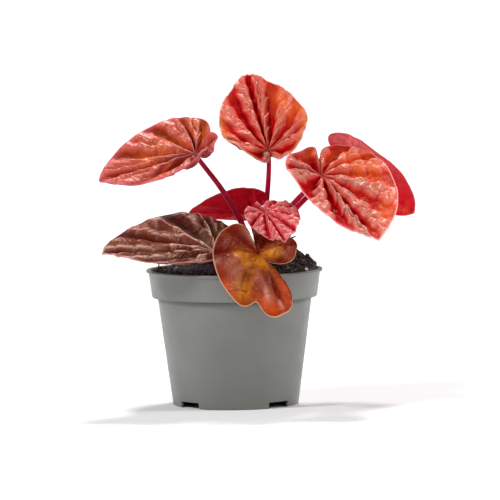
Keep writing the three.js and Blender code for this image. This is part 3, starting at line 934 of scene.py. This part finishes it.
def strands(rng, places, length, radius, rise, curl, sides=3, steps=6):
    """Many thin bent strands that start at places, as points and faces."""
    made = []
    for place in places:
        heading = rng.uniform(0, 2 * np.pi)
        lift = rng.uniform(*rise)
        level = np.cos(lift)
        direction = np.array([np.cos(heading) * level, np.sin(heading) * level, np.sin(lift)])
        reach = rng.uniform(*length)
        bend = rng.normal(size=3) * curl * reach
        t = np.linspace(0, 1, steps)[:, None]
        route = np.asarray(place) + direction * reach * t + bend * t**2
        thickness = rng.uniform(*radius) * (1 - 0.6 * t[:, 0])
        made.append(tube(route, thickness, sides))
    return joined(made)


def keep_in_pot(points, reach):
    """Moves points that are too far out back towards the axis."""
    radius = np.hypot(points[:, 0], points[:, 1])
    points[:, :2] *= np.minimum(1, reach / radius)[:, None]


def make_fuzz(material):
    """The patch of pale fibres on the soil."""
    rng = np.random.default_rng(FUZZ_SEED)
    places = []
    while len(places) < FUZZ_COUNT:
        x, y = rng.normal(FROST_PLACE[0], 6.5), rng.normal(FROST_PLACE[1], 10)
        if np.hypot(x, y) < 40.5:
            places.append((x, y, soil_height(x, y) + 0.2))
    points, faces = strands(rng, places, (2, 4.6), (0.07, 0.13), (0.1, 1.1), 0.3)
    points[:, 2] = np.minimum(points[:, 2], SOIL_LEVEL + 4)
    keep_in_pot(points, FUZZ_REACH)
    return make_piece("soil_fuzz", points, faces, material, "soil")


def make_fibres(material):
    """Dark fibres that lie on the soil."""
    rng = np.random.default_rng(FIBRE_SEED)
    places = scatter_on_soil(rng, FIBRE_COUNT, 37) + (0, 0, 0.5)
    points, faces = strands(rng, places, (2, 6), (0.1, 0.22), (-0.1, 0.35), 0.2)
    keep_in_pot(points, FIBRE_REACH)
    return make_piece("soil_fibres", points, faces, material, "soil")


def make_perlite(material):
    """A few pale grains."""
    rng = np.random.default_rng(PERLITE_SEED)
    shape, shape_faces = ball(2)
    grains = []
    for x, y, size in PERLITE:
        place = np.array([x, y, soil_height(x, y) + 0.6])
        lumps = 1 + 0.15 * rng.normal(size=len(shape))[:, None]
        grains.append((place + shape * lumps * size, shape_faces))
    return make_piece("soil_perlite", *joined(grains), material, "soil")


def make_crown(material):
    """The short stem, with lumps all over."""
    profile = [
        (AXIS_HOLE, 46),
        (3, 46.4),
        (5.5, 57),
        (CROWN_RADIUS - 0.6, 66),
        (CROWN_RADIUS, 69),
        (CROWN_RADIUS, 72),
        (CROWN_RADIUS - 0.5, 74.3),
        (CROWN_RADIUS - 1.8, 76),
        (CROWN_RADIUS - 4, 76.8),
        (AXIS_HOLE, CROWN_TOP),
    ]
    points, faces = revolved(rounded(profile, 1.2, 5), 96)
    points[:, 0] += CROWN_X
    lumps = 0.5 * waves(points, 4.5, CROWN_SEED) + 0.25 * waves(points, 1.8, CROWN_SEED + 1)
    outward = points - (CROWN_X, 0, 66)
    outward /= np.maximum(np.linalg.norm(outward, axis=1), 1e-6)[:, None]
    points = points + outward * np.minimum(lumps, 0.6)[:, None]
    points[:, 2] = np.minimum(points[:, 2], CROWN_TOP + 0.8)
    return make_piece("crown_stem", points, faces, material, "crown", ["crown"])


def make_sprigs(dry, fresh, tan):
    """A dry forked stalk and a stump on the crown, a dry stub by the rim and the top leaf's collar."""
    forked = [
        ([(18, -1, 74), (24, 0, 81), (29, -2, 84.2), (31.5, -3, 85.5)], (0.9, 0.7, 0.5, 0.25)),
        ([(27, -1, 83), (28.6, -1.5, 85.2), (29.4, -2, 87)], (0.5, 0.4, 0.2)),
    ]
    stub = [([(-38, -7, 67), (-38.5, -8, 70), (-38.2, -8.5, 73)], (0.5, 0.4, 0.25))]
    stump = [([(19, -5, 72), (22, -8, 74), (23.5, -9, 77)], (1.7, 1.6, 1.1))]
    collar = [([(16.9, 2.6, 123.2), (16.9, 3.4, 125), (17.2, 4.6, 127.6)], (1.5, 2.5, 1.8))]
    groups = (
        ("dry_stalk", forked, dry),
        ("dry_stub", stub, dry),
        ("stump", stump, fresh),
        ("collar", collar, tan),
    )
    for name, routes, material in groups:
        branches = []
        for route, radii in routes:
            places = np.linspace(0, len(route) - 1, 14)
            route = np.stack([np.interp(places, range(len(route)), side) for side in zip(*route)], -1)
            radii = np.interp(places, range(len(radii)), radii)
            radii = radii * (1 + 0.12 * waves(route, 2.0, SPRIG_SEED))
            branches.append(tube(route, radii, 12))
        make_piece(name, *joined(branches), material, "petiole")


# Materials


def new_material(name):
    """A material with a plain Principled shader, and the shader."""
    material = bpy.data.materials.new(name)
    material.use_nodes = True
    return material, material.node_tree, material.node_tree.nodes["Principled BSDF"]


def feed(tree, socket, value):
    """Links another node's output to a socket, or sets a number or colour on it."""
    if isinstance(value, bpy.types.NodeSocket):
        tree.links.new(value, socket)
    elif isinstance(value, tuple):
        socket.default_value = (*value, 1)
    else:
        socket.default_value = value


def feed_all(tree, node, **inputs):
    """Feeds sockets by name, with underscores for spaces."""
    for name, value in inputs.items():
        feed(tree, node.inputs[name.replace("_", " ")], value)


def add_node(tree, kind, **inputs):
    node = tree.nodes.new(kind)
    feed_all(tree, node, **inputs)
    return node


def painted(tree, name):
    """The values that a piece's vertices store under this name."""
    node = tree.nodes.new("ShaderNodeAttribute")
    node.attribute_name = name
    return node.outputs["Fac"]


def noise(tree, size_mm, detail=2.0, roughness=0.5):
    """Noise with features of about this size, fixed to the part."""
    coordinates = tree.nodes.new("ShaderNodeTexCoord")
    node = add_node(
        tree,
        "ShaderNodeTexNoise",
        Vector=coordinates.outputs["Object"],
        Scale=1000 / size_mm,
        Detail=detail,
        Roughness=roughness,
    )
    return node.outputs["Fac"]


def mixed(tree, factor, first, second):
    node = tree.nodes.new("ShaderNodeMix")
    node.data_type = "RGBA"
    sockets = (node.inputs[0], node.inputs[6], node.inputs[7])
    for socket, value in zip(sockets, (factor, first, second)):
        feed(tree, socket, value)
    return node.outputs[2]


def ranged(tree, value, low, high, to_low=0.0, to_high=1.0):
    node = add_node(
        tree, "ShaderNodeMapRange", Value=value, From_Min=low, From_Max=high, To_Min=to_low, To_Max=to_high
    )
    return node.outputs["Result"]


def combined(tree, operation, first, second):
    node = tree.nodes.new("ShaderNodeMath")
    node.operation = operation
    for socket, value in zip(node.inputs, (first, second)):
        feed(tree, socket, value)
    return node.outputs[0]


def times(tree, first, second):
    return combined(tree, "MULTIPLY", first, second)


def bumped(tree, shader, height, depth_mm, strength=1.0):
    node = add_node(tree, "ShaderNodeBump", Height=height, Distance=depth_mm * MM, Strength=strength)
    tree.links.new(node.outputs["Normal"], shader.inputs["Normal"])


# Each look: "valley" is the veins' own deep colour, made darker still as painted shade; "ridge", "slope",
# "margin" and "under" are the leaf's own colours; "pale" is the painted highlight along the crests and
# beside the side veins; "speck" colours the speckled painted highlights on the ridges, with their strength
# next to it; "sheen" and "gloss" set the specular level and the roughness.
LEAF_LOOKS = {
    "coral": dict(
        valley=(0.34, 0.0, 0.002),
        slope=(0.62, 0.008, 0.01),
        ridge=(0.6, 0.11, 0.07),
        pale=(0.7, 0.27, 0.2),
        speck=(0.85, 0.4, 0.28),
        glint_specks=0.55,
        margin=(0.84, 0.36, 0.34),
        under=(0.58, 0.01, 0.03),
        sheen=0.3,
        gloss=0.34,
    ),
    "blush": dict(
        valley=(0.2, 0.016, 0.004),
        slope=(0.42, 0.035, 0.012),
        ridge=(0.56, 0.085, 0.055),
        pale=(0.58, 0.17, 0.19),
        speck=(0.9, 0.55, 0.34),
        glint_specks=0.65,
        margin=(0.6, 0.12, 0.14),
        under=(0.55, 0.05, 0.06),
        sheen=0.33,
        gloss=0.33,
    ),
    "crimson": dict(
        valley=(0.5, 0.0, 0.008),
        slope=(0.66, 0.002, 0.016),
        ridge=(0.72, 0.006, 0.02),
        pale=(0.68, 0.05, 0.06),
        speck=(0.72, 0.12, 0.12),
        glint_specks=0.3,
        margin=(0.7, 0.1, 0.12),
        under=(0.68, 0.0, 0.012),
        sheen=0.25,
        gloss=0.42,
    ),
    "rose": dict(
        valley=(0.24, 0.002, 0.01),
        slope=(0.55, 0.012, 0.03),
        ridge=(0.62, 0.12, 0.11),
        pale=(0.75, 0.33, 0.32),
        speck=(0.85, 0.45, 0.42),
        glint_specks=0.5,
        margin=(0.7, 0.2, 0.2),
        under=(0.5, 0.03, 0.05),
        sheen=0.35,
        gloss=0.3,
    ),
    "bronze": dict(
        valley=(0.065, 0.009, 0.006),
        slope=(0.14, 0.02, 0.01),
        ridge=(0.22, 0.048, 0.022),
        pale=(0.95, 0.6, 0.5),
        speck=(0.9, 0.6, 0.32),
        glint_specks=0.6,
        margin=(0.5, 0.22, 0.19),
        under=(0.2, 0.04, 0.04),
        sheen=0.28,
        gloss=0.42,
    ),
    "amber": dict(
        valley=(0.16, 0.01, 0.002),
        slope=(0.18, 0.012, 0.002),
        ridge=(0.23, 0.022, 0.003),
        pale=(0.32, 0.08, 0.02),
        speck=(0.75, 0.28, 0.12),
        glint_specks=0.3,
        margin=(0.72, 0.36, 0.2),
        under=(0.4, 0.01, 0.03),
        sheen=0.2,
        gloss=0.36,
    ),
}
# Tint colours for each look, then the usual ones. The orange kind is painted glow and glints (and the
# amber leaf's own orange), and dark is mostly painted shade; TINTS tells the rest.
TINT_COLOURS = {
    "orange_and_glow": {"blush": (0.72, 0.16, 0.03), "bronze": (0.24, 0.14, 0.06), "amber": (0.72, 0.25, 0.008)},
    "tan": {"amber": (0.4, 0.12, 0.075)},
    "dark": {"blush": (0.26, 0.035, 0.008), "amber": (0.1, 0.004, 0.003)},
    "rose": {"bronze": (0.42, 0.27, 0.25), "amber": (0.85, 0.36, 0.24), "crimson": (0.92, 0.24, 0.24)},
    "red": {"amber": (0.62, 0.075, 0.01), "crimson": (0.85, 0.015, 0.035)},
    "taupe": {},
}
USUAL_TINTS = {
    "orange_and_glow": (0.84, 0.15, 0.025),
    "tan": (0.55, 0.3, 0.1),
    "dark": (0.22, 0.0, 0.006),
    "rose": (0.72, 0.15, 0.16),
    "red": (0.62, 0.01, 0.03),
    "taupe": (0.42, 0.15, 0.11),
}


def leaf_material(name):
    """Deep veins with painted shade, painted highlights on the crests, spots of tint and a pale margin."""
    look = LEAF_LOOKS[name]
    material, tree, shader = new_material("leaf_" + name)
    crest = painted(tree, "crest")
    under = painted(tree, "under")
    blotch = noise(tree, 5, 3)
    fine = noise(tree, 1.1, 2, 0.6)
    # From the veins' own deep colour, deepened here as painted shade, to the ridge colour on the crests.
    base = mixed(tree, ranged(tree, crest, 0.02, 0.3), look["valley"], look["slope"])
    base = mixed(tree, ranged(tree, crest, 0.25, 0.7), base, look["ridge"])
    below = mixed(tree, ranged(tree, crest, 0.0, 0.3), look["valley"], look["under"])
    below = mixed(tree, ranged(tree, blotch, 0.42, 0.7, 0, 0.6), below, look["ridge"])
    base = mixed(tree, under, base, below)
    # Spots of tint, some of them painted glow, glints, highlights and shade (see TINTS).
    for kind in TINTS:
        tint = TINT_COLOURS[kind].get(name, USUAL_TINTS[kind])
        weight = times(tree, painted(tree, kind), ranged(tree, blotch, 0.3, 0.65, 0.5, 1))
        if kind == "taupe":
            weight = times(tree, weight, ranged(tree, crest, 0.3, 0.6))
        base = mixed(tree, weight, base, tint)
    # Speckled painted highlights in places on the crests, fainter on the underside.
    glint_patches = times(tree, ranged(tree, noise(tree, 8, 1), 0.45, 0.6), ranged(tree, crest, 0.35, 0.75))
    glint_patches = times(tree, glint_patches, ranged(tree, under, 0, 1, 1, 0.2))
    glint_specks = times(tree, glint_patches, ranged(tree, fine, 0.53, 0.6, 0, look["glint_specks"]))
    base = mixed(tree, glint_specks, base, look["speck"])
    # Painted highlight lines along the crests and beside the side veins, broken up by the blotch noise.
    highlight_weight = times(tree, painted(tree, "highlight_line"), ranged(tree, blotch, 0.3, 0.5, 0.55, 1))
    base = mixed(tree, highlight_weight, base, look["pale"])
    base = mixed(tree, ranged(tree, painted(tree, "groove"), 0.5, 1, 0, 0.5), base, look["slope"])
    base = mixed(tree, ranged(tree, painted(tree, "edge"), 0.975, 0.99), base, look["margin"])
    shine = ranged(tree, fine, 0.3, 0.7, look["gloss"] - 0.08, look["gloss"] + 0.1)
    rough = combined(tree, "ADD", shine, times(tree, under, 0.25))
    sheen = ranged(tree, crest, 0.1, 0.7, 0.03, look["sheen"])
    sheen = times(tree, sheen, ranged(tree, under, 0, 1, 1, 0.3))
    feed_all(tree, shader, Base_Color=base, Roughness=rough, Specular_IOR_Level=sheen)
    bumped(tree, shader, fine, 0.3, 0.8)
    return material


def stalk_material():
    """Streaked crimson that pales towards the blade."""
    material, tree, shader = new_material("stalk")
    streak = noise(tree, 4, 2)
    base = mixed(tree, ranged(tree, streak, 0.35, 0.7), (0.3, 0.0, 0.02), (0.56, 0.004, 0.045))
    base = mixed(tree, ranged(tree, painted(tree, "along"), 0.75, 1, 0, 0.4), base, (0.5, 0.015, 0.035))
    feed_all(tree, shader, Base_Color=base, Roughness=0.38, Specular_IOR_Level=0.12)
    bumped(tree, shader, noise(tree, 1.2, 2), 0.08, 0.7)
    return material


def pot_material():
    """Cloudy grey-green plastic, with a painted shadow just under the band."""
    material, tree, shader = new_material("pot_plastic")
    cloud = noise(tree, 28, 3)
    base = mixed(tree, ranged(tree, cloud, 0.3, 0.7), (0.16, 0.164, 0.15), (0.188, 0.192, 0.175))
    speck = ranged(tree, noise(tree, 1.3, 1), 0.72, 0.78)
    base = mixed(tree, times(tree, speck, 0.25), base, (0.14, 0.14, 0.125))
    coordinates = tree.nodes.new("ShaderNodeTexCoord")
    split = add_node(tree, "ShaderNodeSeparateXYZ", Vector=coordinates.outputs["Object"])
    height = split.outputs["Z"]
    # A painted shadow under the band's overhang, darkest at the band and fading over 2.5 mm below it.
    top, foot = BAND_FOOT * MM, (BAND_FOOT - 2.5) * MM
    band_shadow = times(tree, ranged(tree, height, foot, top), ranged(tree, height, top, top + MM, 1, 0))
    base = mixed(tree, times(tree, band_shadow, 0.8), base, (0.05, 0.052, 0.05))
    rough = ranged(tree, noise(tree, 9, 3), 0.3, 0.7, 0.36, 0.5)
    feed_all(tree, shader, Base_Color=base, Roughness=rough)
    bumped(tree, shader, noise(tree, 0.7, 2), 0.03, 0.6)
    return material


def soil_material():
    """Dark peat, with a pale bloom where the fibres grow."""
    material, tree, shader = new_material("peat")
    grit = noise(tree, 1.2, 4, 0.6)
    base = mixed(tree, ranged(tree, grit, 0.3, 0.75), (0.004, 0.0028, 0.0024), (0.045, 0.027, 0.018))
    base = mixed(tree, painted(tree, "frost"), base, (0.46, 0.44, 0.54))
    feed_all(tree, shader, Base_Color=base, Roughness=0.9)
    bumped(tree, shader, grit, 0.5, 1.0)
    return material


def plain_material(name, dark, light, size_mm, roughness):
    """Two tones in a fine noise, with a little bump."""
    material, tree, shader = new_material(name)
    grain = noise(tree, size_mm, 3)
    base = mixed(tree, ranged(tree, grain, 0.3, 0.7), dark, light)
    feed_all(tree, shader, Base_Color=base, Roughness=roughness)
    bumped(tree, shader, grain, 0.2 * size_mm, 0.8)
    return material


# Build

make_pot(pot_material())
peat = soil_material()
make_soil(peat)
make_crumbs(peat)
make_fuzz(plain_material("fuzz", (0.36, 0.34, 0.42), (0.62, 0.6, 0.68), 1.0, 0.9))
make_fibres(plain_material("fibres", (0.02, 0.012, 0.008), (0.09, 0.05, 0.03), 1.5, 0.85))
make_perlite(plain_material("perlite", (0.55, 0.53, 0.48), (0.8, 0.78, 0.72), 0.6, 0.9))
make_crown(plain_material("crown_skin", (0.05, 0.008, 0.008), (0.24, 0.03, 0.03), 2.2, 0.6))
stalk_skin = stalk_material()
dry_skin = plain_material("dry_stem", (0.02, 0.01, 0.008), (0.11, 0.05, 0.035), 1.2, 0.8)
fresh_skin = plain_material("stump_skin", (0.3, 0.004, 0.02), (0.55, 0.02, 0.04), 1.5, 0.5)
tan_skin = plain_material("collar_skin", (0.26, 0.07, 0.05), (0.45, 0.19, 0.11), 1.2, 0.5)
make_sprigs(dry_skin, fresh_skin, tan_skin)
leaf_skins = {name: leaf_material(name) for name in LEAF_LOOKS}
for number, leaf in enumerate(LEAVES):
    make_stalk(leaf, stalk_skin)
    make_blade(leaf, BLADE_SEED + number, leaf_skins[leaf["look"]])


# Floor, light and camera


def add_floor():
    """A pale floor, wider than any view."""
    mesh = bpy.data.meshes.new("floor")
    mesh.from_pydata([(-30, -20, 0), (30, -20, 0), (30, 60, 0), (-30, 60, 0)], [], [(0, 1, 2, 3)])
    floor = add_object("floor", mesh)
    material, tree, shader = new_material("floor")
    feed_all(tree, shader, Base_Color=(0.86, 0.86, 0.87), Roughness=0.8, Specular_IOR_Level=0.1)
    mesh.materials.append(material)


def add_sun(name, azimuth, elevation, strength, angle):
    """A soft sun, from degrees to the right of the front and degrees above the horizon."""
    light = bpy.data.lights.new(name, "SUN")
    light.energy = strength
    light.angle = math.radians(angle)
    lamp = add_object(name, light)
    a, e = math.radians(azimuth), math.radians(elevation)
    source = Vector((math.sin(a) * math.cos(e), -math.cos(a) * math.cos(e), math.sin(e)))
    lamp.rotation_mode = "QUATERNION"
    lamp.rotation_quaternion = source.to_track_quat("Z", "Y")


def add_camera():
    """The photograph's view, from 2 m away, with its slight roll."""
    image_width = 500
    scale = 1.961  # pixels a millimetre at the pot's axis
    distance = 2000.0
    elevation = math.radians(4.4)
    roll = 0.012
    target = Vector((8.12, 0, 78.4))
    forward = Vector((0, math.cos(elevation), -math.sin(elevation)))
    level_up = Vector((0, math.sin(elevation), math.cos(elevation)))
    level_right = Vector((1, 0, 0))
    right = level_right * math.cos(roll) - level_up * math.sin(roll)
    up = level_right * math.sin(roll) + level_up * math.cos(roll)
    data = bpy.data.cameras.new("camera")
    data.sensor_width = 36
    data.lens = scale * distance * data.sensor_width / image_width
    data.clip_end = 200
    camera = add_object("camera", data)
    facing = Matrix((right, up, -forward)).transposed().to_4x4()
    camera.matrix_world = Matrix.Translation((target - forward * distance) * MM) @ facing
    bpy.context.scene.camera = camera


add_floor()
world = bpy.data.worlds.new("studio")
world.use_nodes = True
feed_all(world.node_tree, world.node_tree.nodes["Background"], Color=(1, 1, 1), Strength=0.3)
bpy.context.scene.world = world
add_sun("top", azimuth=165, elevation=62, strength=2.1, angle=10)
add_sun("left", azimuth=-62, elevation=38, strength=2.0, angle=12)
add_sun("right", azimuth=85, elevation=32, strength=1.5, angle=16)
add_camera()
bpy.context.scene.view_settings.view_transform = "Standard"

bpy.context.view_layer.update()
